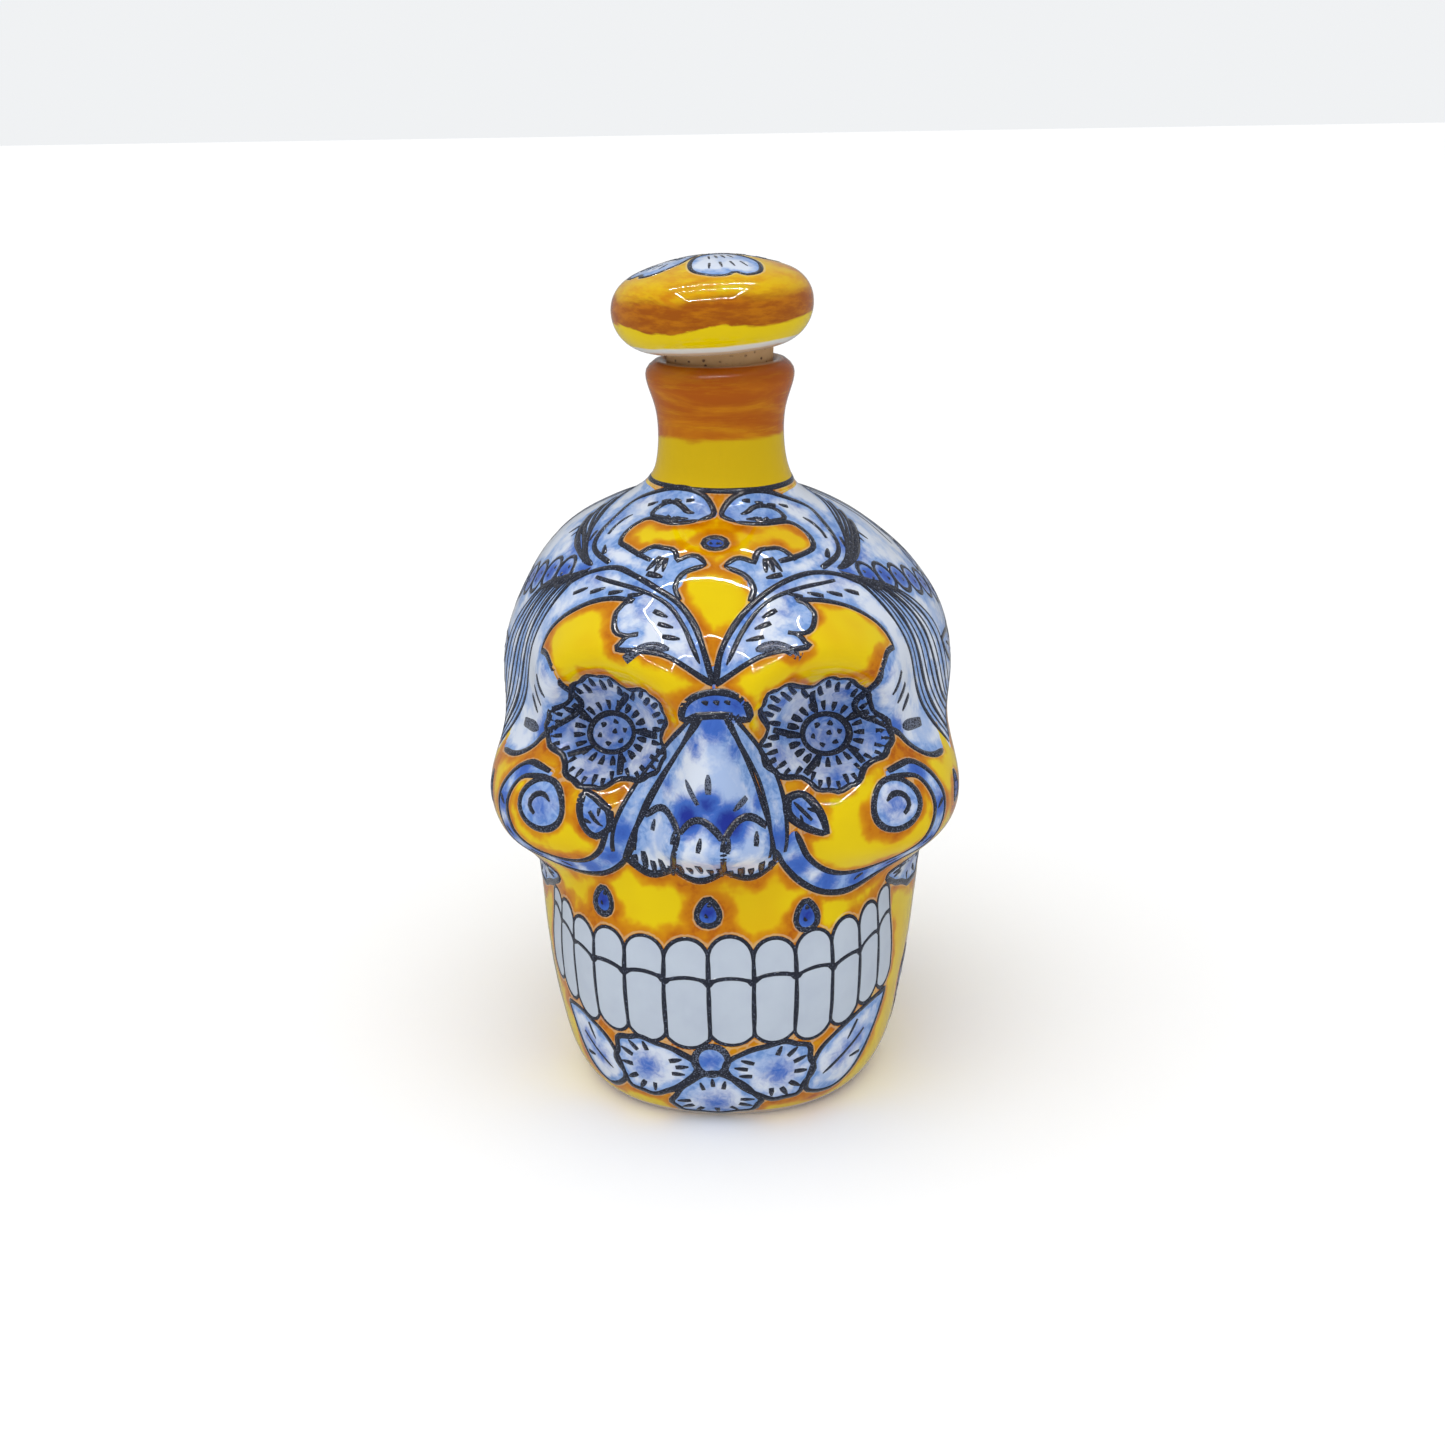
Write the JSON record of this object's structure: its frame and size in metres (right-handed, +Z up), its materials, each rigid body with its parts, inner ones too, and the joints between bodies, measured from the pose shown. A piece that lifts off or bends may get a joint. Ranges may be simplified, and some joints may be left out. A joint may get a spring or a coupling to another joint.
{
  "type": "skull decanter",
  "caption": "Hollow ceramic bottle shaped as a painted skull, with a short round neck and a lift-out stopper: a cushion-shaped ceramic cap glued to a tapered cork.",
  "frame": {"origin": "under the middle of the bounding box, on the plane that the foot stands on", "axes": "+Z up along the neck, -Y out of the face, +X to the viewer's right when looking at the face"},
  "size_m": [0.1249, 0.1597, 0.2175],
  "materials": {
    "painted_glaze": "gloss",
    "cap_glaze": "gloss",
    "cork": "matte",
    "adhesive": "matte"
  },
  "bodies": {
    "bottle": {"skull_bottle": "painted_glaze"},
    "stopper": {"stopper_cap": "cap_glaze", "stopper_cork": "cork", "cork_adhesive": "adhesive"}
  },
  "joints": [
    {"name": "stopper_lift", "type": "slide", "parent": "bottle", "child": "stopper", "axis": [0, 0, 1], "range_m": [0, 0.045]}
  ]
}
